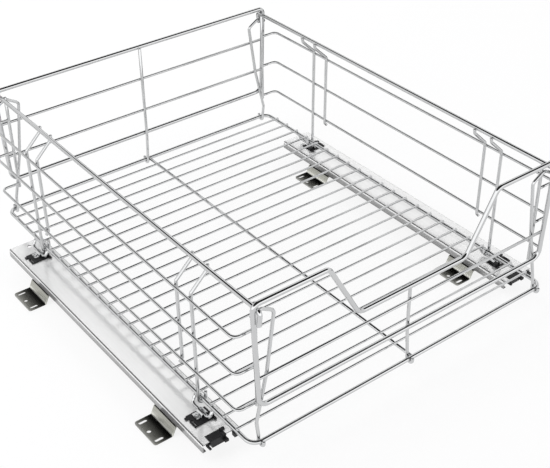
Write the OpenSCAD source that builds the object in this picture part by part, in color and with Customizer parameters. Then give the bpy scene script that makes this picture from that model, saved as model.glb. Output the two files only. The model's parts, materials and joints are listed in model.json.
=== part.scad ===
// Pull-out cabinet basket: a chrome wire basket clipped on two ball-bearing
// slides that lie flat on Z-shaped cabinet feet.
// Frame: +Z up, the basket pulls out along -Y, millimetres. Origin on the
// cabinet floor, under the middle of the outline.

/* [Basket] */
// Width of the front and back panels at the rim
basket_w = 410; // [400:2:420]
// Depth between the front and back panels
basket_d = 530; // [500:2:560]
// Height from the bottom frame wire up to the rim
basket_h = 171; // [168:1:200]
// How far the second side wire stands outside the rim
side_out = 15; // [14.4:0.1:16]

/* [Scoop in the front rim] */
// Width of the dip at rim level
scoop_top = 230; // [200:2:250]
// Width of the dip at its floor
scoop_low = 150; // [120:2:160]
// Depth of the dip below the rim
scoop_drop = 72; // [50:1:78]

/* [Wire] */
// Panel frame wire: rim, posts and lower bar
d_rim = 5.5; // [5.2:0.1:5.8]
// Side rim and bottom frame wire
d_frame = 5; // [4.8:0.1:5.2]
// Thin horizontal wires
d_thin = 3.4; // [3.2:0.1:3.6]
// Braces, corner wires and centre wires
d_brace = 3.8; // [3.6:0.1:4]
// Floor wires
d_floor = 2.8; // [2.4:0.1:3]
// Number of floor wires
floor_count = 22; // [16:1:26]

/* [Slides] */
// Length of the moving slide member
slide_len = 432; // [426:1:446]
// Distance from the front panel to the slide's front end
slide_front = 40; // [34:1:46]
// How far the basket pulls out
travel = 400; // [300:10:410]

/* [Cabinet feet] */
// Height of the slide's top face above the cabinet floor
rail_top = 24; // [23.5:0.1:30]
// Distance from the slide's front end to the front feet
foot_front = 50; // [30:1:70]
// Distance from the slide's front end to the rear feet
foot_rear = 331; // [260:1:350]

/* [Hidden] */
$fn = 48;
e = 0.05;

// Heights
zf = rail_top + 14.5;            // bottom frame wire
zr = zf + basket_h;              // front and back rim
z2 = zr - 45.5;                  // back panel, second wire
z3 = zr - 92;                    // front and back panels, third wire
z4 = zr - 127;                   // front and back panels, lower bar
s2 = zr - 37;                    // side wires
s3 = zr - 82.5;
s4 = zr - 129.5;

// Plan positions, measured from the middle of the basket
px = basket_w / 2;               // rim corners
pb = px - 5;                     // foot of the corner posts, which lean inward
py = basket_d / 2;               // front and back panels
rf = d_rim / 2;
rs = d_frame / 2;
rt = d_thin / 2;
rb = d_brace / 2;
corner_r = 7;                    // bend of the panels' upper corners
nest = corner_r - rf - rs + e;   // a side rim lies in the hollow of that bend
rx = px - corner_r + nest * cos(10);  // side rims
zs = zr - corner_r + nest * sin(10);
fx = px + 6;                     // bottom frame, side wires
fy = py + 2.5;                   // bottom frame, front and back wires
wi = rf + rb - e;                // wires welded inside a panel frame
hk = rs + rb - 0.01;             // hook radius round the bottom frame
tx = px - rx + rs + rb - e;      // end posts, in from the panels' corners
lean = (side_out - rt - rb + 2 * e - 6 - hk) / (s2 - zf);
function brace_x(z) = fx + hk + lean * (z - zf);
function side_x(z) = brace_x(z) + rt + rb - 2 * e;

// Slides
gauge = 439;                     // between the two slides' centre lines
sw = 46;                         // width of the moving member
sh = 10.5;                       // its height
st = 1.2;                        // sheet thickness
y0 = -py + slide_front;          // front end of the moving member
y1 = y0 + slide_len;
inset = 16;                      // the inner members end this far back
foot_l = 41.5;
foot_w = 22;
foot_gap = 4.5;                  // flange edge to the slide's edge
foot_t = 2;
slot_l = 10.5;
slot_w = 4.2;
ball = 3.96;

cx = (foot_w + foot_gap) / 2;    // shifts the outline onto the origin

chrome = [0.72, 0.73, 0.75];
zinc = [0.66, 0.67, 0.68];
black = [0.08, 0.08, 0.09];
steel = [0.72, 0.73, 0.74];

// ---- helpers ----
function unit(v) = v / norm(v);
function turn(a, b, c) = acos(max(-1, min(1, unit(b - a) * unit(c - b))));
function cut(a, b, c, r) = r * tan(turn(a, b, c) / 2);

module rod(a, b, d) {
    v = b - a;
    translate(a) rotate([0, acos(v.z / norm(v)), atan2(v.y, v.x)]) cylinder(h = norm(v), d = d);
}

// A slight swell, 0.05 mm proud, where a bend meets a straight length.
module weld(p, v, d) translate(p) rotate([0, acos(v.z), atan2(v.y, v.x)]) sphere(d = d + 0.1);

module elbow(a, b, c, r, d) {
    u = unit(b - a);
    w = unit(c - b);
    if (r == 0) weld(b, u, d);
    else {
        n = unit(cross(u, w));
        m = cross(n, u);
        k = cut(a, b, c, r);
        ty = acos(n.z);
        tz = atan2(n.y, n.x);
        xa = [cos(ty) * cos(tz), cos(ty) * sin(tz), -sin(ty)];
        ya = [-sin(tz), cos(tz), 0];
        g = 0.1 / r * 57.296;
        translate(b - u * k + m * r) rotate([0, ty, tz]) rotate([0, 0, atan2(-(m * ya), -(m * xa)) + g])
            rotate_extrude(angle = turn(a, b, c) - 2 * g) translate([r, 0]) circle(d = d);
        weld(b - u * k, u, d);
        weld(b + w * k, w, d);
    }
}

// One straight length, from the end of the bend at a1 to the start of the bend at a2.
module straight(a0, a1, a2, a3, r1, r2, d) {
    v = unit(a2 - a1);
    rod(a1 + v * (cut(a0, a1, a2, r1) + (r1 > 0 ? 0.1 : 0)),
        a2 - v * (cut(a1, a2, a3, r2) + (r2 > 0 ? 0.1 : 0)), d);
}

// An open wire through the points p, bent at each inner point with radius r[i].
module wire(p, r, d) {
    n = len(p);
    for (i = [0 : n - 2])
        straight(i == 0 ? 2 * p[0] - p[1] : p[i - 1], p[i], p[i + 1],
                 i == n - 2 ? 2 * p[n - 1] - p[n - 2] : p[i + 2], r[i], r[i + 1], d);
    for (i = [1 : n - 2]) elbow(p[i - 1], p[i], p[i + 1], r[i], d);
}

// A closed wire loop.
module loop(p, r, d) {
    n = len(p);
    for (i = [0 : n - 1]) {
        a0 = p[(i + n - 1) % n];
        a1 = p[i];
        a2 = p[(i + 1) % n];
        a3 = p[(i + 2) % n];
        straight(a0, a1, a2, a3, r[i], r[(i + 1) % n], d);
        elbow(a0, a1, a2, r[i], d);
    }
}

module place() translate([cx, 0, 0]) children();
module sides(s) mirror([s < 0 ? 1 : 0, 0, 0]) children();      // s = -1 left, 1 right
module ends() { children(); mirror([0, 1, 0]) children(); }    // front and back

// ---- basket ----
module bottom_frame() color(chrome) place()
    loop([[-fx, -fy, zf], [fx, -fy, zf], [fx, fy, zf], [-fx, fy, zf]], [12, 12, 12, 12], d_frame);

module floor_wires() color(chrome) place() {
    step = (basket_d - 47) / (floor_count - 1);
    z = zf + rs + d_floor / 2 - e;
    for (i = [0 : floor_count - 1])
        rod([-fx - 1.5, -py + 22.8 + i * step, z], [fx + 1.5, -py + 22.8 + i * step, z], d_floor);
}

module centre_runner() color(chrome) place() translate([2 + rb - e, 0, 0])
    rod([0, -fy + rs - 0.2, zf + rs - 2], [0, fy - rs + 0.2, zf + rs - 2], 4);

module clip_foot(ya, yb) {
    zb = rail_top + 3.5;
    x = gauge / 2 - 2.5;
    v = unit([x - fx, 0, zb - zf]);
    a = [fx, 0, zf] + v * (rs - e);
    wire([a + [0, ya, 0], [x, ya, zb], [x, yb, zb], a + [0, yb, 0]], [0, 5, 5, 0], 4);
}

module clip_feet() color(chrome) place()
    for (s = [-1, 1]) sides(s) {
        for (y = clip_y) clip_foot(-py + y - 0.6, -py + y + 30.8);
    }

module front_frame() color(chrome) place() translate([0, -py, 0])
    loop([[-pb, 0, z4], [pb, 0, z4], [px, 0, zr], [scoop_top / 2, 0, zr],
          [scoop_low / 2, 0, zr - scoop_drop], [-scoop_low / 2, 0, zr - scoop_drop],
          [-scoop_top / 2, 0, zr], [-px, 0, zr]],
         [12, 12, corner_r, 9, 13, 13, 9, corner_r], d_rim);

module back_frame() color(chrome) place() translate([0, py, 0])
    loop([[-pb, 0, z4], [pb, 0, z4], [px, 0, zr], [-px, 0, zr]], [12, 12, corner_r, corner_r], d_rim);

module cross_wire(z) {
    x = px - 5 * (zr - z) / (zr - z4) - rf + 0.2;
    rod([-x, 0, z], [x, 0, z], d_thin);
}

module front_thin_wire() color(chrome) place() translate([0, -py + rf - rt, 0]) cross_wire(z3);

module back_thin_wires() color(chrome) place() translate([0, py - rf + rt, 0]) {
    cross_wire(z2);
    cross_wire(z3);
}

// A wire inside the front panel, p = [[x, z], ...], that ends in a hook round the bottom frame.
module front_wire(p, r) {
    n = len(p);
    x = p[n - 1].x;
    wire(concat([for (a = p) [a.x, -py + wi, a.y]],
                [[x, -fy + hk, zf + 5], [x, -fy + hk, zf - hk], [x, -fy - hk, zf - hk], [x, -fy - hk, zf + 3]]),
         concat(r, [12, hk - e, hk - e, 0]), d_brace);
}

module centre_wire(top) front_wire([[0, top], [0, z4 - 5]], [0, 12]);

module front_centre_wire() color(chrome) place() centre_wire(zr - scoop_drop);
module back_centre_wire() color(chrome) place() mirror([0, 1, 0]) centre_wire(zr);

module corner_wire() front_wire([[px - 0.6, zr - 17], [px - 11.5, zr - 11], [px - 28, zr - 21],
                                 [px - 18.5, zr - 91], [px - 4.7, z4 - 24]], [0, 8, 6, 14, 10]);

module corner_wires(s) sides(s) ends() corner_wire();
module corner_wires_left() color(chrome) place() corner_wires(-1);
module corner_wires_right() color(chrome) place() corner_wires(1);

module side_rim(s) sides(s) {
    y = py + rf + rs - e;
    wire([[rx + 2, -y, zs - 15.5], [rx, -y, zs], [rx, y, zs], [rx + 2, y, zs - 15.5]], [0, 5, 5, 0], d_frame);
}
module side_rim_left() color(chrome) place() side_rim(-1);
module side_rim_right() color(chrome) place() side_rim(1);

module side_wire(z) {
    x = side_x(z);
    y = py - tx;
    wire([[px - tx + rb - 0.2, -y, z], [x, -y, z], [x, y, z], [px - tx + rb - 0.2, y, z]], [0, 7, 7, 0], d_thin);
}
module side_wires(s) sides(s) for (z = [s2, s3, s4]) side_wire(z);
module side_wires_left() color(chrome) place() side_wires(-1);
module side_wires_right() color(chrome) place() side_wires(1);

module end_post() rod([px - tx, -py + tx, s4 - 5], [px - tx, -py + tx, zs + 1], d_brace);
module end_posts(s) sides(s) ends() end_post();
module end_posts_left() color(chrome) place() end_posts(-1);
module end_posts_right() color(chrome) place() end_posts(1);

// A brace hangs at the inner side of the rim, passes under it and bends down at the second side wire.
function brace_top(y) = [[rx - 4.3, y, zs + 0.4], [rx - 3.2, y, zs - 6], [brace_x(s2 + 5), y, s2 + 5]];
module brace_long(y) {
    b = fx + hk;
    wire(concat(brace_top(y), [[b, y, zf], [b, y, zf - hk], [b - 2 * hk, y, zf - hk], [b - 2 * hk, y, zf + 7]]),
         [0, 3, 4, 0, hk - e, hk - e, 0], d_brace);
}
module brace_short(y) {
    w = side_x(s4);
    wire(concat(brace_top(y), [[brace_x(s4), y, s4 - 2], [w, y, s4 - 6.5]]), [0, 3, 4, 3, 0], d_brace);
}
module braces_long(s) sides(s) { brace_long(-py + 85); brace_long(-py + 429); }
module braces_short(s) sides(s) { brace_short(-py + 111); brace_short(-py + 403); }
module braces_long_left() color(chrome) place() braces_long(-1);
module braces_long_right() color(chrome) place() braces_long(1);
module braces_short_left() color(chrome) place() braces_short(-1);
module braces_short_right() color(chrome) place() braces_short(1);

// ---- slides ----
// Drawn for a slide centred on x = 0, then moved to each side.
module on_slide(s) translate([s * gauge / 2, 0, 0]) children();
module along(a, b) translate([0, b, 0]) rotate([90, 0, 0]) linear_extrude(b - a) children();

module top_profile() translate([0, rail_top]) difference() {
    union() {
        translate([-sw / 2 + 2, -sh]) square([sw - 4, sh]);
        translate([-sw / 2, -sh]) square([sw, sh - 2]);
        for (x = [-1, 1]) translate([x * (sw / 2 - 2), -2]) circle(r = 2);
    }
    translate([-sw / 2 + st, -sh + st]) square([sw - 2 * st, sh - 2 * st]);
    translate([-sw / 2 + 4, -sh - 1]) square([sw - 8, sh / 2]);
}

module slide_top(s) on_slide(s) difference() {
    along(y0, y1) top_profile();
    translate([-14.1, y0 - 1, rail_top - 3]) cube([19.7, 10.7, 5]);
    translate([0, y1 - 10, rail_top - 3]) cylinder(h = 6, d = 5.5);
    for (y = clip_y) translate([s * 4.9, -py + y + 12, rail_top - 3]) cylinder(h = 6, d = 3.2);
}
module slide_top_left() color(zinc) place() slide_top(-1);
module slide_top_right() color(zinc) place() slide_top(1);

module mid_profile() translate([0, rail_top]) {
    translate([-17.8, -3.4]) square([35.6, st]);
    for (x = [0, 1]) mirror([x, 0]) {
        translate([16.6, -10.3]) square([st, 8]);
        translate([14.3, -10.3]) square([3, 1]);
    }
}
module slide_mid(s) on_slide(s) along(y0 + inset + 2, y1 - 16) mid_profile();
module slide_mid_left() color(zinc) place() slide_mid(-1);
module slide_mid_right() color(zinc) place() slide_mid(1);

module base_profile() translate([0, rail_top - 12]) difference() {
    translate([-12.6, 0]) square([25.2, 7.6]);
    translate([-12.6 + st, st]) square([25.2 - 2 * st, 7.6]);
}
foot_y = [y0 + foot_front, y0 + foot_rear];
rivet_y = [for (f = foot_y) for (d = [10, foot_l - 10]) f + d];
module slide_base(s) on_slide(s) difference() {
    along(y0 + inset, y1 - 4) base_profile();
    for (y = rivet_y) translate([0, y, rail_top - 13]) cylinder(h = 4, d = 4.2);
}
module slide_base_left() color(zinc) place() slide_base(-1);
module slide_base_right() color(zinc) place() slide_base(1);

// Ball cages, upper between the moving and middle members, lower below it.
cage_up = [y0 + inset + 2 + travel / 4 + 6, y1 - travel / 4 - 12];
cage_lo = [y0 + inset + travel / 4 + 4, y1 - 8 - travel / 4 - 4];
pitch = 22;
function rows(c) = [for (y = [c[0] + 8 : pitch : c[1] - 8]) y];

module cage(c, hx, zt, zb, zc) difference() {
    along(c[0], c[1]) translate([0, rail_top]) difference() {
        translate([-hx - 0.3, zb]) square([2 * hx + 0.6, zt - zb]);
        translate([-hx + 0.3, zb - 1]) square([2 * hx - 0.6, zt - zb + 0.5]);
    }
    for (y = rows(c)) translate([-hx - 2, y, rail_top + zc]) rotate([0, 90, 0]) cylinder(h = 2 * hx + 4, d = 4.1);
}
module balls(c, hx, zc) for (y = rows(c)) for (x = [-1, 1])
    translate([x * hx, y, rail_top + zc]) sphere(d = ball);

module cage_upper(s) on_slide(s) cage(cage_up, 19.8, -1.5, -8.6, -5.6);
module cage_lower(s) on_slide(s) cage(cage_lo, 14.6, -3.65, -8.9, -6.7);
module cage_upper_left() color(steel) place() cage_upper(-1);
module cage_upper_right() color(steel) place() cage_upper(1);
module cage_lower_left() color(steel) place() cage_lower(-1);
module cage_lower_right() color(steel) place() cage_lower(1);
module balls_upper_left() color(steel) place() on_slide(-1) balls(cage_up, 19.8, -5.6);
module balls_upper_right() color(steel) place() on_slide(1) balls(cage_up, 19.8, -5.6);
module balls_lower_left() color(steel) place() on_slide(-1) balls(cage_lo, 14.6, -6.7);
module balls_lower_right() color(steel) place() on_slide(1) balls(cage_lo, 14.6, -6.7);

// Black stop in the notch at the moving member's front end. A bar under the sheet
// joins its plate to the arm and the bumper.
module end_stop(s) on_slide(s) translate([0, y0, rail_top]) {
    translate([-14, -1.5, -1.25]) cube([19.5, 10, 2.05]);
    translate([3, 5.3, 0]) cube([5.4, 3.4, 2]);
    translate([-12, -1.5, -8.5]) cube([15, 5.5, 7.5]);
    translate([1, -6, -5.5]) cube([4.5, 9, 3]);
    translate([-18.8, -1.5, -3.4]) cube([8, 1.8, 1.9]);
    translate([-18.8, -7.2, -3.4]) cube([2.2, 7, 1.9]);
    translate([-14, 3, -3.3]) cube([32, 3, 2.07]);
    translate([14, -2, -3.3]) cube([3.5, 7, 1.6]);
    translate([13, -5.5, -6]) cube([5.5, 5, 4.5]);
}
module end_stop_left() color(black) place() end_stop(-1);
module end_stop_right() color(black) place() end_stop(1);

// Clip: a steel saddle holds the wire foot down on a black base.
// Drawn with +x outboard, y from the base's front edge.
module clip_base() difference() {
    union() {
        translate([-10.5, 0, 0]) cube([24, 19.5, 1.45]);
        translate([11, 14, 0]) cube([5.4, 4, 1.45]);
        translate([11, 0, 0]) cube([3.6, 10.8, 1.45]);
        translate([-10.5, -2.8, 0]) cube([2.6, 4, 2.2]);
        translate([-10.3, 1.8, 0]) cube([5.3, 4.8, 4.6]);
    }
    translate([11.4, 1.5, -1]) cube([1.4, 9, 9]);
    translate([4.9, 12, -1]) cylinder(h = 5, d = 3.2);
}
module clip_plate() difference() {
    translate([0, 17, 0]) rotate([90, 0, 0]) linear_extrude(10.2) difference() {
        union() {
            translate([-2.5, 2.31]) circle(r = 4.5);
            translate([-7, 0]) square([9, 2.31]);
            translate([-2.5, 0]) square([10, 2.75]);
        }
        translate([-2.5, 2.31]) circle(r = 3.2);
        translate([-5.7, 0]) square([6.4, 2.31]);
        translate([-10, -4]) square([20, 5.45]);
    }
    translate([4.9, 12, 0]) cylinder(h = 5, d = 3.2);
}
module clip_screw() translate([4.9, 12, 0]) {
    difference() {
        translate([0, 0, 2.75]) cylinder(h = 1.5, d = 4.8);
        translate([-1.7, -0.35, 3.6]) cube([3.4, 0.7, 2]);
        translate([-0.35, -1.7, 3.6]) cube([0.7, 3.4, 2]);
    }
    translate([0, 0, -1.15]) cylinder(h = 4.2, d = 3);
}
clip_y = [65, 424];              // front edge of each clip
module clips(s) for (y = clip_y) sides(s) translate([gauge / 2, -py + y, rail_top]) children();
module clip_bases_left() color(black) place() clips(-1) clip_base();
module clip_bases_right() color(black) place() clips(1) clip_base();
module clip_plates_left() color(steel) place() clips(-1) clip_plate();
module clip_plates_right() color(steel) place() clips(1) clip_plate();
module clip_screws() color(steel) place() for (s = [-1, 1]) clips(s) clip_screw();

// ---- cabinet feet ----
// All four flanges point left. x = 0 is the slide's left edge.
module foot_profile() {
    h = rail_top - 12;
    polygon([[-foot_gap - foot_w, 0], [-foot_gap + 0.6, 0], [0.9, h - foot_t], [34, h - foot_t],
             [34, h], [-0.6, h], [-foot_gap - 0.9, foot_t], [-foot_gap - foot_w, foot_t]]);
}
module foot_corner(a) rotate([0, 0, a]) difference() {
    translate([-1, -1, -1]) cube([4, 4, 4]);
    translate([3, 3, -2]) cylinder(h = 6, d = 6);
}
module foot(s, y) on_slide(s) translate([-sw / 2, y, 0]) difference() {
    translate([0, foot_l, 0]) rotate([90, 0, 0]) linear_extrude(foot_l) foot_profile();
    translate([-foot_gap - foot_w, 0, 0]) {
        for (v = [4.75, 36.75]) for (u = [-1, 1]) translate([8.1 + u * (slot_l - slot_w) / 2, v, -1])
            cylinder(h = 4, d = slot_w);
        for (v = [4.75, 36.75]) translate([8.1 - (slot_l - slot_w) / 2, v - slot_w / 2, -1])
            cube([slot_l - slot_w, slot_w, 4]);
        translate([5.7, 20.75, -1]) cylinder(h = 4, d = 5);
        foot_corner(0);
        translate([0, foot_l, 0]) foot_corner(-90);
    }
    for (v = [10, foot_l - 10]) translate([sw / 2, v, 0]) cylinder(h = 20, d = 4.2);
}
module foot_left_front() color(zinc) place() foot(-1, foot_y[0]);
module foot_left_rear() color(zinc) place() foot(-1, foot_y[1]);
module foot_right_front() color(zinc) place() foot(1, foot_y[0]);
module foot_right_rear() color(zinc) place() foot(1, foot_y[1]);

module foot_rivets() color(steel) place() for (s = [-1, 1]) on_slide(s) for (y = rivet_y)
    translate([0, y, rail_top - 15.2]) {
        cylinder(h = 1.2, d = 7);
        cylinder(h = 5.6, d = 4);
        translate([0, 0, 4.4]) cylinder(h = 1.2, d = 7);
    }

bottom_frame();
floor_wires();
centre_runner();
clip_feet();
front_frame();
front_thin_wire();
front_centre_wire();
back_frame();
back_thin_wires();
back_centre_wire();
corner_wires_left();
corner_wires_right();
side_rim_left();
side_rim_right();
side_wires_left();
side_wires_right();
end_posts_left();
end_posts_right();
braces_long_left();
braces_long_right();
braces_short_left();
braces_short_right();
slide_top_left();
slide_top_right();
end_stop_left();
end_stop_right();
clip_bases_left();
clip_bases_right();
clip_plates_left();
clip_plates_right();
clip_screws();
slide_mid_left();
slide_mid_right();
cage_upper_left();
cage_upper_right();
cage_lower_left();
cage_lower_right();
balls_upper_left();
balls_upper_right();
balls_lower_left();
balls_lower_right();
slide_base_left();
slide_base_right();
foot_left_front();
foot_left_rear();
foot_right_front();
foot_right_rear();
foot_rivets();
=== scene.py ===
# %% [markdown]
# # A pull-out wire basket on cabinet slides
#
# The real object is a chrome-plated wire basket. Round steel wires are bent,
# laid across each other and resistance-welded, and four small wire feet are
# clipped on a pair of ball-bearing slides. The slides lie flat on Z-shaped
# steel feet that are screwed to a cabinet floor.
#
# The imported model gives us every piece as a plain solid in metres. We load it,
# then dress it: the wires are made again as smooth tubes with welds and cut
# ends, the pressed steel and plastic get softened edges, and each finish gets
# its own node material.

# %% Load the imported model
import json

import bmesh
import bpy
import numpy as np
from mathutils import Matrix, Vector


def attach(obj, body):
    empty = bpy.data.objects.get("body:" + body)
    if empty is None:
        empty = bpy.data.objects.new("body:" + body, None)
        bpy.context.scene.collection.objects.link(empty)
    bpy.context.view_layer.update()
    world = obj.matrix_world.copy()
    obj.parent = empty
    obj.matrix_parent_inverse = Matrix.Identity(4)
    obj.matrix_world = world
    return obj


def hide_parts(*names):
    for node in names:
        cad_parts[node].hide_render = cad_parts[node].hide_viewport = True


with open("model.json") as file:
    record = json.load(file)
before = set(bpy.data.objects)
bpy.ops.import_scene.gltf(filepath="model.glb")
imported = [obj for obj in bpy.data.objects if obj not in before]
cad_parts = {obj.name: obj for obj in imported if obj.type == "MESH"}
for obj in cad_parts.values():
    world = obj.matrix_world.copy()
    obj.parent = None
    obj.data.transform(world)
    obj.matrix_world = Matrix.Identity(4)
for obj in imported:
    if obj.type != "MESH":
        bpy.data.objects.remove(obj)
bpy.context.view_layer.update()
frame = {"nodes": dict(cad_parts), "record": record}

# %% [markdown]
# ## The camera
#
# A camera is placed by a few numbers: where it stands, where it looks and its
# focal length. This one stands to the front left, about 1.4 metres away, and
# looks down at about 35 degrees. Its lens is centred, so that the other
# views of the object stay centred too.

# %% Camera
cam_data = bpy.data.cameras.new("camera")
cam_data.sensor_width = 36.0
cam_data.lens = 71.31
camera = bpy.data.objects.new("camera", cam_data)
camera.location = (-0.6376, -0.8903, 0.8202)
camera.rotation_euler = np.radians((55.27, 0.55, -37.46))
bpy.context.scene.collection.objects.link(camera)
bpy.context.scene.camera = camera
bpy.context.scene.view_settings.view_transform = "Standard"

# %% [markdown]
# ## Floor, sky and lamps
#
# Chrome has no colour of its own: it shows what stands around it. A plain
# white tent would make every wire white, so the surroundings are bright walls
# under a dark ceiling, which draws a thin dark line along the top of every
# wire. Beyond the object the wall is low, except for a strip straight ahead
# that goes higher, so that the flat slides stay light. On the camera's side it
# is brighter. The camera itself sees only white. The floor is partly lit and
# partly self-bright, so that it stays pale but still takes a soft shadow, and
# in reflections its far side fades to dark.

# %% Node helper
def nodes_of(owner):
    """An empty node tree and a short way to add nodes with their inputs set."""
    owner.use_nodes = True
    tree = owner.node_tree
    tree.nodes.clear()

    def add(kind, **inputs):
        node = tree.nodes.new("ShaderNode" + kind)
        for name, value in inputs.items():
            if name.startswith("p_"):
                setattr(node, name[2:], value)
                continue
            if name[0] == "i" and name[1:].isdigit():
                key = int(name[1:])
            else:
                key = name.replace("_", " ")
            if isinstance(value, bpy.types.NodeSocket):
                tree.links.new(value, node.inputs[key])
            else:
                node.inputs[key].default_value = value
        return node

    return tree, add


def ramp(add, factor, stops):
    """A colour ramp node with grey or RGB stops: [(position, value or colour), ...]."""
    node = add("ValToRGB", Fac=factor)
    el = node.color_ramp.elements
    while len(el) < len(stops):
        el.new(0.5)
    for e, (at, c) in zip(el, stops):
        e.position = at
        e.color = (c, c, c, 1) if np.isscalar(c) else (*c, 1)
    return node.outputs["Color"]

# %% Sky
AHEAD = (0.616, 0.788, 0)       # about the way the camera looks, taken level
world = bpy.data.worlds.new("studio")
bpy.context.scene.world = world
tree, add = nodes_of(world)
direction = add("TexCoord").outputs["Generated"]
height = add("SeparateXYZ", Vector=direction).outputs["Z"]
across = add("VectorMath", p_operation="DOT_PRODUCT", i0=direction, i1=AHEAD).outputs["Value"]
behind = add("MapRange", Value=across, From_Min=-0.2, From_Max=0.0).outputs[0]
down = add("Math", p_operation="MULTIPLY", i0=height, i1=-1.0).outputs[0]
level = add("Math", p_operation="MULTIPLY_ADD", i0=height, i1=down, i2=1.0001).outputs[0]
level = add("Math", p_operation="SQRT", i0=level).outputs[0]
facing = add("Math", p_operation="DIVIDE", i0=across, i1=level).outputs[0]
strip_width = add("MapRange", Value=facing, From_Min=0.90, From_Max=0.955).outputs[0]
high_wall = ramp(add, height, [(0.0, 1.0), (0.60, 1.15), (0.71, 1.35), (0.74, 0.02)])
low_wall = ramp(add, height, [(0.0, 1.0), (0.54, 1.0), (0.59, 0.02)])
room = add("MixRGB", Fac=strip_width, Color1=low_wall, Color2=high_wall).outputs[0]
front = ramp(add, height, [(0.0, 0.8), (0.1, 1.6), (0.55, 1.7), (0.64, 0.3), (0.70, 0.02)])
sky = add("MixRGB", Fac=behind, Color1=front, Color2=room)
plain = add("Background", Color=sky.outputs[0], Strength=1.0)
white = add("Background", Color=(1, 1, 1, 1), Strength=1.0)
eye = add("LightPath").outputs["Is Camera Ray"]
surround = add("MixShader", Fac=eye, i1=plain.outputs[0], i2=white.outputs[0])
add("OutputWorld", Surface=surround.outputs[0])

# %% Floor
floor_mesh = bpy.data.meshes.new("floor")
FLOOR = 9                       # half the floor's width, in metres
corners = [(-FLOOR, -FLOOR, 0), (FLOOR, -FLOOR, 0), (FLOOR, FLOOR, 0), (-FLOOR, FLOOR, 0)]
floor_mesh.from_pydata(corners, [], [(0, 1, 2, 3)])
floor = bpy.data.objects.new("floor", floor_mesh)
floor.location.z = -0.0004      # just under the feet, so that the two don't flicker
bpy.context.scene.collection.objects.link(floor)
paper = bpy.data.materials.new("white_paper")
tree, add = nodes_of(paper)
lit = add("BsdfDiffuse", Color=(0.86, 0.86, 0.87, 1))
glow = add("Emission", Color=(1, 1, 1, 1), Strength=1.0)
path = add("LightPath")
seen = add("Math", p_operation="MAXIMUM", i0=path.outputs["Is Camera Ray"],
           i1=path.outputs["Is Glossy Ray"])
share = add("Math", p_operation="MULTIPLY", i0=seen.outputs[0], i1=0.84)
mixed = add("MixShader", Fac=share.outputs[0], i1=lit.outputs[0], i2=glow.outputs[0])
spot = add("TexCoord").outputs["Object"]
far = add("VectorMath", p_operation="DOT_PRODUCT", i0=spot, i1=AHEAD).outputs["Value"]
away = add("MapRange", Value=far, From_Min=0.38, From_Max=0.6).outputs[0]
dim = add("Math", p_operation="MULTIPLY", i0=away, i1=path.outputs["Is Glossy Ray"])
edge = add("Emission", Color=(0.05, 0.05, 0.05, 1), Strength=1.0)
whole = add("MixShader", Fac=dim.outputs[0], i1=mixed.outputs[0], i2=edge.outputs[0])
add("OutputMaterial", Surface=whole.outputs[0])
floor_mesh.materials.append(paper)

# %% Softboxes
def softbox(name, stand, aim, size, power):
    """A rectangular area lamp at stand, turned to look at aim."""
    lamp = bpy.data.lights.new(name, "AREA")
    lamp.shape, lamp.size, lamp.size_y, lamp.energy = "RECTANGLE", size[0], size[1], power
    ob = bpy.data.objects.new(name, lamp)
    ob.location = stand
    ob.rotation_euler = (Vector(aim) - Vector(stand)).to_track_quat("-Z", "Y").to_euler()
    ob.visible_glossy = False
    bpy.context.scene.collection.objects.link(ob)
    return ob


softbox("key", (-1.2, 0.3, 1.7), (0, 0, 0.1), (1.2, 1.6), 25)
softbox("fill", (1.5, -0.9, 1.3), (0, 0, 0.1), (0.9, 1.2), 11)
softbox("back", (0.6, 2.0, 1.2), (0, 0, 0.1), (2.2, 0.9), 20)

# %% [markdown]
# ## Finishes
#
# Each finish is a small node tree on Object coordinates, so it lies still on
# the piece and follows it when it moves. Bright chrome gets a faint haze and
# fine ripple, as plating over drawn wire has. Zinc-plated strip shows rolling
# streaks along its length. The slides and the feet also have light and shade
# painted into their colour: painted highlight lines, painted dark reflection
# lines and painted shade.

# %% Materials
def finish(name, color, rough, metal=1.0, grain=(300, 300, 300), vary=0.08, bump=0.0,
           spec=0.5, shade=0.06, painted_tone=None):
    """A principled surface whose roughness and tone drift with two scales of noise. The last
    argument, if given, is a function of the node adder that gives the base colour instead of the
    one colour, with painted highlights and painted shade in it."""
    m = bpy.data.materials.new(name)
    tree, add = nodes_of(m)
    at = add("TexCoord").outputs["Object"]
    scaled = add("Mapping", Vector=at, Scale=grain).outputs[0]
    fine = add("TexNoise", Vector=scaled, Scale=1.0, Detail=4.0).outputs["Fac"]
    broad = add("TexNoise", Vector=at, Scale=14.0, Detail=2.0).outputs["Fac"]
    mix = add("Math", p_operation="ADD", i0=fine, i1=broad).outputs[0]
    low, high = max(0.02, rough - vary), rough + vary
    r = add("MapRange", Value=mix, From_Min=0.7, From_Max=1.3, To_Min=low, To_Max=high).outputs[0]
    tone = ramp(add, broad, [(0.3, tuple(c * (1 - shade) for c in color)), (0.7, color)])
    # Painted light: the given function paints highlights and shade into the base colour.
    if painted_tone:
        streak = ramp(add, fine, [(0.35, 1 - shade), (0.65, 1.0)])
        painted_colour = painted_tone(add, at)
        tone = add("MixRGB", p_blend_type="MULTIPLY", Fac=1.0, Color1=painted_colour, Color2=streak).outputs[0]
    b = add("BsdfPrincipled", Base_Color=tone, Metallic=metal, Roughness=r, Specular_IOR_Level=spec)
    if bump:
        n = add("Bump", Height=fine, Strength=0.35, Distance=bump)
        tree.links.new(n.outputs[0], b.inputs["Normal"])
    add("OutputMaterial", Surface=b.outputs[0])
    return m


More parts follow.
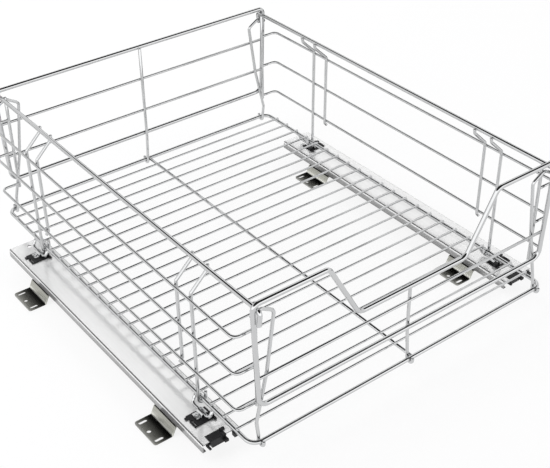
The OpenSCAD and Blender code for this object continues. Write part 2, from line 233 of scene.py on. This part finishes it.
def rail_painted_light(add, at):
    """Painted light over height: the wall painted in shade, darkest at its foot, a painted
    highlight line and above it a painted dark reflection line on the bend, and the top in the
    zinc's own light colour.
    """
    z = add("SeparateXYZ", Vector=at).outputs["Z"]
    z = add("MapRange", Value=z, From_Min=0.012, From_Max=0.025).outputs[0]
    return ramp(add, z, [(0.0, 0.16), (0.3, 0.30), (0.68, 0.36), (0.74, 0.85),
                         (0.84, 0.85), (0.87, 0.10), (0.905, 0.12), (0.925, 0.88)])


def foot_painted_light(add, at):
    """Painted light across the foot: the flange painted in shade that darkens towards the bend, a
    painted highlight line on the bend, and the web painted light, shaded again at its far end. The
    two rows of feet stand 439 mm apart, so x modulo that distance is the same for both. The 279.25
    mm added first keep each foot clear of the jump."""
    x = add("SeparateXYZ", Vector=at).outputs["X"]
    x = add("Math", p_operation="ADD", i0=x, i1=0.27925).outputs[0]
    x = add("Math", p_operation="MODULO", i0=x, i1=0.439).outputs[0]
    x = add("MapRange", Value=x, From_Min=0.0235, From_Max=0.05).outputs[0]
    return ramp(add, x, [
        (0.0, (0.40, 0.40, 0.38)), (0.12, (0.22, 0.22, 0.20)), (0.35, (0.10, 0.10, 0.09)),
        (0.60, (0.025, 0.025, 0.022)), (0.79, (0.012, 0.012, 0.011)), (0.82, (0.85, 0.85, 0.79)),
        (0.87, (0.50, 0.50, 0.45)), (0.97, (0.42, 0.42, 0.38)), (1.0, (0.22, 0.22, 0.20))])


chrome = finish("bright_chrome", (0.60, 0.605, 0.61), 0.07, vary=0.03, bump=0.00001)
# The slides' top member has painted light in its colour: a wall painted in shade, with a painted
# highlight line and a painted dark reflection line along the bend.
zinc = finish("rolled_zinc", (0.88, 0.88, 0.87), 0.22, metal=0.5, grain=(400, 9, 400), vary=0.04,
              shade=0.04, painted_tone=rail_painted_light)
# The feet have painted light in their colour: a flange painted in shade, a painted highlight line
# on the bend, and a web painted light.
foot_zinc = finish("dull_zinc", (0.42, 0.42, 0.42), 0.26, grain=(900, 40, 900), vary=0.08,
                   bump=0.00002, shade=0.12, painted_tone=foot_painted_light)
# The middle and base members of the slides are darkened as painted shade for the inside of the
# channel, which shows black through the hole in the top member.
dark_zinc = finish("greased_zinc", (0.22, 0.22, 0.21), 0.30, grain=(900, 30, 900), vary=0.08,
                   bump=0.00002)
bright = finish("bright_steel", (0.66, 0.665, 0.67), 0.20, vary=0.06, bump=0.00003)
strip = finish("pressed_strip", (0.60, 0.60, 0.61), 0.28, vary=0.08)
bearing = finish("bearing_steel", (0.78, 0.78, 0.80), 0.06, vary=0.02)
plastic = finish("black_plastic", (0.010, 0.010, 0.011), 0.45, metal=0.0, vary=0.08,
                 bump=0.00004, spec=0.3)

# %% [markdown]
# ## Wires
#
# A bent wire is a circle carried along a path. The path is a polyline whose
# corners are replaced by arcs. The circle needs a direction to start from. It
# is set once, at the wire's first end, and then carried along: at each point
# the part of it that lies along the new tangent is taken away. So the tube
# never twists, whichever way the wire is bent.

# %% Path with rounded corners
MM = 0.001


def rounded(points, radii, closed=False, steps=7):
    """Replaces corner i of a polyline by an arc of radius radii[i]: the arc's centre lies on the
    corner's bisector, and its points are the tangent point turned about that centre."""
    p = np.asarray(points, float)
    n = len(p)
    out = []
    for i in range(n):
        if not closed and i in (0, n - 1):
            out.append(p[i : i + 1])
            continue
        u, w = p[i] - p[i - 1], p[(i + 1) % n] - p[i]
        u, w = u / np.linalg.norm(u), w / np.linalg.norm(w)
        turn = np.arccos(np.clip(u @ w, -1, 1))
        if turn < 1e-4 or radii[i] <= 0:
            out.append(p[i : i + 1])
            continue
        m = w - u * (u @ w)
        m /= np.linalg.norm(m)
        start = p[i] - u * radii[i] * np.tan(turn / 2)
        a = np.linspace(0, turn, max(3, int(steps * turn) + 2))[:, None]
        out.append(start + m * radii[i] * (1 - np.cos(a)) + u * radii[i] * np.sin(a))
    return np.concatenate(out)

# %% Tube along a path
def tube(path, radius, ref, closed=False, sides=14):
    """Points p(t, a) = path(t) + radius (cos a * N + sin a * B). B starts as T x ref, each later
    B is the one before it less its part along T, and N = B x T. Cut ends are closed by a small
    chamfer ring and a last ring shrunk to the middle."""
    path = np.asarray(path, float)
    if closed:
        d = np.roll(path, -1, 0) - np.roll(path, 1, 0)
    else:
        d = np.gradient(path, axis=0)
    t = d / np.linalg.norm(d, axis=1, keepdims=True)
    scale = np.full(len(path), radius)
    if not closed:
        c = 0.22 * radius
        head = path[0] + np.outer([0, 0, c], t[0])
        tail = path[-1] - np.outer([c, 0, 0], t[-1])
        path = np.concatenate([head, path[1:-1], tail])
        t = np.concatenate([t[[0, 0, 0]], t[1:-1], t[[-1, -1, -1]]])
        rim = [1e-7, 0.8 * radius, radius]
        scale = np.concatenate([rim, scale[1:-1], rim[::-1]])
    b = np.empty_like(t)
    side = np.cross(t[0], ref)
    for i, ahead in enumerate(t):
        side = side - ahead * (side @ ahead)
        b[i] = side = side / np.linalg.norm(side)
    nrm = np.cross(b, t)
    a = np.linspace(0, 2 * np.pi, sides, endpoint=False)
    ring = np.cos(a)[None, :, None] * nrm[:, None] + np.sin(a)[None, :, None] * b[:, None]
    v = (path[:, None] + ring * scale[:, None, None]).reshape(-1, 3)
    rows = len(path) if closed else len(path) - 1
    i, j = np.meshgrid(np.arange(rows), np.arange(sides), indexing="ij")
    k, m = (i + 1) % len(path), (j + 1) % sides
    f = np.stack([i * sides + j, i * sides + m, k * sides + m, k * sides + j], -1)
    return v, f.reshape(-1, 4)


def bead(centre, size, rows=6, cols=8):
    """A weld: the ellipsoid centre + size * (sin u cos w, sin u sin w, cos u)."""
    u = np.linspace(0.02, np.pi - 0.02, rows)
    w = np.linspace(0, 2 * np.pi, cols, endpoint=False)
    x = np.sin(u)[:, None] * np.cos(w)
    y = np.sin(u)[:, None] * np.sin(w)
    z = np.repeat(np.cos(u)[:, None], cols, 1)
    v = np.asarray(centre) + np.stack([x, y, z], -1).reshape(-1, 3) * size
    i, j = np.meshgrid(np.arange(rows - 1), np.arange(cols), indexing="ij")
    m = (j + 1) % cols
    f = np.stack([i * cols + j, (i + 1) * cols + j, (i + 1) * cols + m, i * cols + m], -1)
    return v, f.reshape(-1, 4)


def make(name, parts, material, body, node):
    """Joins (vertices, faces) parts, given in millimetres, into one smooth piece on a body."""
    v = np.concatenate([p[0] for p in parts]) * MM
    step = np.cumsum([0] + [len(p[0]) for p in parts[:-1]])
    f = np.concatenate([p[1] + s for p, s in zip(parts, step)])
    mesh = bpy.data.meshes.new(name)
    mesh.from_pydata(v, [], f.tolist())
    mesh.shade_smooth()
    mesh.materials.append(material)
    ob = bpy.data.objects.new(name, mesh)
    bpy.context.scene.collection.objects.link(ob)
    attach(ob, body)
    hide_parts(node)
    return ob

# %% [markdown]
# ## Sizes
#
# These are the same named sizes as in the solid model, in millimetres from the
# middle of the basket, so that every tube lies where its solid lies.

# %% Sizes
CX = 13.25                      # the basket's middle, seen from the object's middle
RF, RS, RT, RB, RFL = 2.75, 2.5, 1.7, 1.9, 1.4  # radii: panels, frame and rims, thin, braces, floor
WELD = 0.05                     # depth that two welded wires share
PX, PB, PY = 205.0, 200.0, 265.0  # panels: half widths at the rim and low down, place in depth
FX, FY = PX + 6, PY + 2.5       # half width and half depth of the bottom frame
RAIL_TOP = 24.0                 # upper face of the slides
ZF = RAIL_TOP + 14.5            # height of the bottom frame
ZR = ZF + 171                   # height of the panels' rims
Z2, Z3, Z4 = ZR - 45.5, ZR - 92, ZR - 127  # wires across the panels, the last one the lower bar
SIDE_Z = (ZR - 37, ZR - 82.5, ZR - 129.5)  # heights of the side wires
SCOOP = (115, 75, 72)           # half width at the rim, half width at its bottom, depth
CORNER_R = 7                    # bend of the panels' upper corners
NEST = CORNER_R - RF - RS + WELD  # from the middle of that bend to the side rim inside it
RX = PX - CORNER_R + NEST * np.cos(np.radians(10))  # side rims
ZS = ZR - CORNER_R + NEST * np.sin(np.radians(10))
WI = RF + RB - WELD             # from a panel's middle to a wire welded behind it
HK = RS + RB - 0.01             # bend of the hooks round the bottom frame
TX = PX - RX + RS + RB - WELD   # end posts, from the panel's corner
FLOOR_WIRES, FIRST, PITCH = 22, 22.8, 23.0  # the first one is measured from the front panel
RUN_X, RUN_R = RB + 1.95, 2.0   # centre runner
LONG_Y, SHORT_Y = (85, 429), (111, 403)  # braces, from the front panel
CLIP_Y = ((64.4, 95.8), (423.4, 454.8))  # legs of the clip feet, from the front panel
CLIP_X, CLIP_Z, CLIP_R = 217, RAIL_TOP + 3.5, 2.0  # the clip feet's lower side
LEAN = (15 - RT - RB + 2 * WELD - 6 - HK) / (SIDE_Z[0] - ZF)  # of the braces, outwards


def brace_x(z):
    """Where the middle of a brace is at height z."""
    return FX + HK + LEAN * (z - ZF)


def side_x(z):
    """Where the middle of a side wire at height z is: on the outer side of the braces."""
    return brace_x(z) + RT + RB - 2 * WELD


def place(parts, mirror_x=False, mirror_y=False):
    """Moves basket-centred parts into the object's frame. Mirrored faces are turned round, so that
    they still look outwards."""
    out = []
    for v, f in parts:
        s = np.array([-1 if mirror_x else 1, -1 if mirror_y else 1, 1.0])
        out.append((v * s + (CX, 0, 0), f[:, ::-1] if mirror_x != mirror_y else f))
    return out


def wire(points, radii, radius, ref, closed=False):
    """A tube along a polyline with rounded corners."""
    return tube(rounded(points, radii, closed), radius, ref, closed)

# %% [markdown]
# ## The bottom frame and floor
#
# A square loop of 5 mm wire carries 22 thin floor wires laid across it, and
# one thicker runner beneath their middle. Each crossing is welded, and a small
# bead fills the corner between the two wires.

# %% Bottom frame, floor wires, runner
loop = [(-FX, -FY, ZF), (FX, -FY, ZF), (FX, FY, ZF), (-FX, FY, ZF)]
make("bottom_frame_wire", place([wire(loop, [12] * 4, RS, (0, 0, 1), True)]), chrome,
     "basket", "bottom_frame")

floor_y = -PY + FIRST + PITCH * np.arange(FLOOR_WIRES)
zfl = ZF + RS + RFL - WELD
parts = []
for y in floor_y:
    parts.append(tube([(-FX - 1.5, y, zfl), (FX + 1.5, y, zfl)], RFL, (0, 0, 1)))
    parts += [bead((s * FX, y, ZF + RS), (1.5, 1.9, 0.9)) for s in (-1, 1)]
    parts.append(bead((RUN_X, y, ZF + RS), (1.3, 1.7, 0.8)))
make("floor_wire_set", place(parts), chrome, "basket", "floor_wires")

run = [(RUN_X, -FY + RS - 0.2, ZF + 0.5), (RUN_X, FY - RS + 0.2, ZF + 0.5)]
make("centre_runner_wire", place([tube(run, RUN_R, (0, 0, 1))]), chrome,
     "basket", "centre_runner")
print("floor wires:", len(floor_y))

# %% [markdown]
# ## Front and back panels
#
# Each panel is one closed loop of the thickest wire. It is a little narrower
# at its lower bar than at the rim, so its posts lean. The front rim dips in a
# scoop so that a hand can reach in. Thin wires and a centre wire are welded
# behind the loop.

# %% Panels
def panel(scoop):
    """The panel's loop, seen from the front, as corner points and bend radii."""
    pts, r = [(-PB, Z4), (PB, Z4), (PX, ZR)], [12, 12, CORNER_R]
    if scoop:
        wide, low, deep = SCOOP
        pts += [(wide, ZR), (low, ZR - deep), (-low, ZR - deep), (-wide, ZR)]
        r += [9, 13, 13, 9]
    pts, r = pts + [(-PX, ZR)], r + [CORNER_R]
    return wire([(x, 0, z) for x, z in pts], r, RF, (0, 1, 0), True)


def shift_y(part, y):
    """The part moved along y."""
    return part[0] + (0, y, 0), part[1]


make("front_panel_wire", place([shift_y(panel(True), -PY)]), chrome,
     "basket", "front_frame")
make("back_panel_wire", place([shift_y(panel(False), PY)]), chrome,
     "basket", "back_frame")


def cross(z, y):
    """A thin wire across a panel with its three welds. The posts lean, so a low wire is shorter."""
    x = PX - 5 * (ZR - z) / (ZR - Z4) - RF + 0.2
    welds = [bead((s * (x + 0.4), y, z), (1.2, 1.9, 1.9)) for s in (-1, 1)]
    welds.append(bead((0, y + np.sign(-y) * RT, z), (1.6, 0.8, 1.5)))
    return [tube([(-x, y, z), (x, y, z)], RT, (0, 0, 1))] + welds


make("front_thin_cross_wire", place(cross(Z3, -PY + RF - RT)), chrome,
     "basket", "front_thin_wire")
make("back_thin_cross_wires", place(cross(Z2, PY - RF + RT) + cross(Z3, PY - RF + RT)), chrome,
     "basket", "back_thin_wires")


def hooked(points, radii):
    """A wire inside the front panel whose lower end hooks round the bottom frame."""
    x = points[-1][0]
    pts = [(a, -PY + WI, b) for a, b in points]
    pts += [(x, -FY + HK, ZF + 5), (x, -FY + HK, ZF - HK),
            (x, -FY - HK, ZF - HK), (x, -FY - HK, ZF + 3)]
    return wire(pts, radii + [12, HK - WELD, HK - WELD, 0], RB, (1, 0, 0))


for name, mirror, top in (("front", False, ZR - SCOOP[2]), ("back", True, ZR)):
    welds = [bead((0, -PY + RF - 0.1, z), (1.6, 0.9, 1.4)) for z in (top - 0.4, Z4)]
    welds.append(bead((0, -FY + RS, ZF), (1.5, 0.9, 1.4)))
    parts = place([hooked([(0, top), (0, Z4 - 5)], [0, 12])] + welds, mirror_y=mirror)
    make(name + "_centre_hooked_wire", parts, chrome,
         "basket", name + "_centre_wire")

# %% [markdown]
# ## Corner wires, side rims and end posts
#
# At each corner a shouldered wire is welded inside the panel's post and hooks
# round the bottom frame. The side rims pass through the hollow of the panels'
# rounded corners and turn down in front of them. The end posts stand inside
# the side rims and gather the ends of the side wires.

# %% Corners and sides
corner = [(PX - 0.6, ZR - 17), (PX - 11.5, ZR - 11), (PX - 28, ZR - 21), (PX - 18.5, ZR - 91),
          (PX - 4.7, Z4 - 24)]
corner_parts = [hooked(corner, [0, 8, 6, 14, 10]),
                bead((PX - 12.2, -PY + RF - 0.1, Z4), (1.5, 0.9, 1.3)),
                bead((PX - 4.9, -FY + RS, ZF), (1.4, 0.9, 1.3)),
                bead((PX - 0.6, -PY + RF, ZR - 16.5), (1.3, 0.8, 1.5))]
for side, m in (("left", True), ("right", False)):
    both = place(corner_parts, m) + place(corner_parts, m, True)
    make("corner_shoulder_wires_" + side, both, chrome,
         "basket", "corner_wires_" + side)

    y = PY + RF + RS - WELD
    rim = [(RX + 2, -y, ZS - 15.5), (RX, -y, ZS), (RX, y, ZS), (RX + 2, y, ZS - 15.5)]
    knots = [bead((PX - 2.7, s * PY, ZR - 6.7), (0.9, 1.9, 1.9)) for s in (-1, 1)]
    parts = [wire(rim, [0, 5, 5, 0], RS, (1, 0, 0))] + knots
    make("side_rim_wire_" + side, place(parts, m), chrome,
         "basket", "side_rim_" + side)

    parts, y = [], PY - TX
    for z in SIDE_Z:
        x0, x = PX - TX + RB - 0.2, side_x(z)
        bent = [(x0, -y, z), (x, -y, z), (x, y, z), (x0, y, z)]
        parts.append(wire(bent, [0, 7, 7, 0], RT, (0, 0, 1)))
        parts += [bead((x0 - 0.1, s * y, z), (0.9, 1.7, 1.7)) for s in (-1, 1)]
        parts += [bead((x - RT, -PY + q, z), (0.8, 1.5, 1.3)) for q in sorted(LONG_Y + SHORT_Y)]
    make("side_wire_set_" + side, place(parts, m), chrome,
         "basket", "side_wires_" + side)

    stem = [(PX - TX, -PY + TX, SIDE_Z[2] - 5), (PX - TX, -PY + TX, ZS + 1)]
    post = [tube(stem, RB, (1, 0, 0)), bead((RX - RS, -PY + TX, ZS), (0.8, 1.6, 1.4))]
    make("end_post_wires_" + side, place(post, m) + place(post, m, True), chrome,
         "basket", "end_posts_" + side)

# %% [markdown]
# ## Braces and clip feet
#
# The braces hang inside the side rims, pass under them and lean out to the
# side wires, which they carry. The long ones hook round the bottom frame and
# the short ones stop at the lowest side wire. The clip feet are little
# U-shaped wires that the clips on the slides hold down.

# %% Braces and clip feet
def brace(y, long):
    """A brace with the weld at its top and the one at its foot. A long one ends in a hook."""
    bend = SIDE_Z[0] + 5
    top = [(RX - 4.3, y, ZS + 0.4), (RX - 3.2, y, ZS - 6), (brace_x(bend), y, bend)]
    b = FX + HK
    if long:
        pts = top + [(b, y, ZF), (b, y, ZF - HK),
                     (b - 2 * HK, y, ZF - HK), (b - 2 * HK, y, ZF + 7)]
        r = [0, 3, 4, 2, HK - WELD, HK - WELD, 0]
        foot = bead((FX + RS, y, ZF), (0.8, 1.5, 1.3))
    else:
        w, z = side_x(SIDE_Z[2]), SIDE_Z[2]
        pts, r = top + [(brace_x(z), y, z - 2), (w, y, z - 6.5)], [0, 3, 4, 3, 0]
        foot = bead((w - RT, y, z), (0.8, 1.5, 1.3))
    return [wire(pts, r, RB, (0, 1, 0)), bead((RX - RS, y, ZS - 0.6), (0.8, 1.5, 1.4)), foot]


def clip_foot(ya, yb):
    """A U of wire from the bottom frame at ya down towards the slide and back up at yb."""
    v = np.array([CLIP_X - FX, 0, CLIP_Z - ZF])
    v /= np.linalg.norm(v)
    a = np.array([FX, 0, ZF]) + v * (RS - WELD)
    pts = [a + (0, ya, 0), (CLIP_X, ya, CLIP_Z), (CLIP_X, yb, CLIP_Z), a + (0, yb, 0)]
    ref = np.cross(v, (0, 1, 0))
    welds = [bead(a + (0, q, 0), (1.7, 2.3, 1.3)) for q in (ya, yb)]
    return [wire(pts, [0, 5, 5, 0], CLIP_R, ref)] + welds


feet = []
for side, m in (("left", True), ("right", False)):
    for kind, ys in (("long", LONG_Y), ("short", SHORT_Y)):
        parts = sum((brace(-PY + y, kind == "long") for y in ys), [])
        make("brace_wires_%s_%s" % (kind, side), place(parts, m), chrome,
             "basket", "braces_%s_%s" % (kind, side))
    feet += place(sum((clip_foot(-PY + ya, -PY + yb) for ya, yb in CLIP_Y), []), m)
make("clip_foot_wires", feet, chrome, "basket", "clip_feet")

# %% [markdown]
# ## Slides, feet and plastic
#
# Pressed sheet and moulded plastic never end in a knife edge. Each of these
# solids is copied, its loose triangles are merged back into whole faces, and a
# small bevel rounds every sharp edge, so that it catches a thin light line.
# The balls and their cages keep their solids and only take a finish.

# %% Softened copies of the sheet and plastic pieces
def softened(node, suffix, width, material, body):
    """A copy of a solid, its triangles merged into flat faces and every edge over 35 degrees
    bevelled."""
    mesh = frame["nodes"][node].data.copy()
    bm = bmesh.new()
    bm.from_mesh(mesh)
    bmesh.ops.remove_doubles(bm, verts=bm.verts, dist=1e-6)
    bmesh.ops.dissolve_limit(bm, angle_limit=np.radians(1.0), verts=bm.verts, edges=bm.edges)
    bm.to_mesh(mesh)
    bm.free()
    mesh.materials.clear()
    mesh.materials.append(material)
    mesh.shade_smooth()
    ob = bpy.data.objects.new(node + suffix, mesh)
    bpy.context.scene.collection.objects.link(ob)
    edge = ob.modifiers.new("edge", "BEVEL")
    edge.width, edge.segments = width, 2
    edge.limit_method, edge.angle_limit = "ANGLE", np.radians(35)
    even = ob.modifiers.new("even", "WEIGHTED_NORMAL")
    even.weight = 95
    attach(ob, body)
    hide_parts(node)
    return ob


dressed = {"slide_top": ("_strip", 0.25, zinc, "zinc_steel"),
           "slide_mid": ("_strip", 0.2, dark_zinc, "zinc_steel"),
           "slide_base": ("_strip", 0.2, dark_zinc, "zinc_steel"),
           "foot_left": ("_bracket", 0.35, foot_zinc, "zinc_steel"),
           "foot_right": ("_bracket", 0.35, foot_zinc, "zinc_steel"),
           "end_stop": ("_moulding", 0.3, plastic, "black_plastic"),
           "clip_bases": ("_moulding", 0.25, plastic, "black_plastic"),
           "clip_plates": ("_pressing", 0.2, bright, "bright_steel"),
           "clip_screws": ("_turned", 0.15, bright, "bright_steel"),
           "foot_rivets": ("_turned", 0.25, bright, "bright_steel")}
bodies = frame["record"]["behaviour"]["bodies"]
body_of = {node: body for body, nodes in bodies.items() for node in nodes}
for node in sorted(frame["nodes"]):
    for key, (suffix, width, material, slot) in dressed.items():
        if node.startswith(key):
            ob = softened(node, suffix, width * MM, material, body_of[node])
            print(ob.name, len(ob.data.polygons), "faces")

# %% Finishes on the balls and cages
for node, ob in frame["nodes"].items():
    for kind, material in (("cage_", strip), ("balls_", bearing)):
        if node.startswith(kind):
            for holder in ob.material_slots:
                holder.material = material
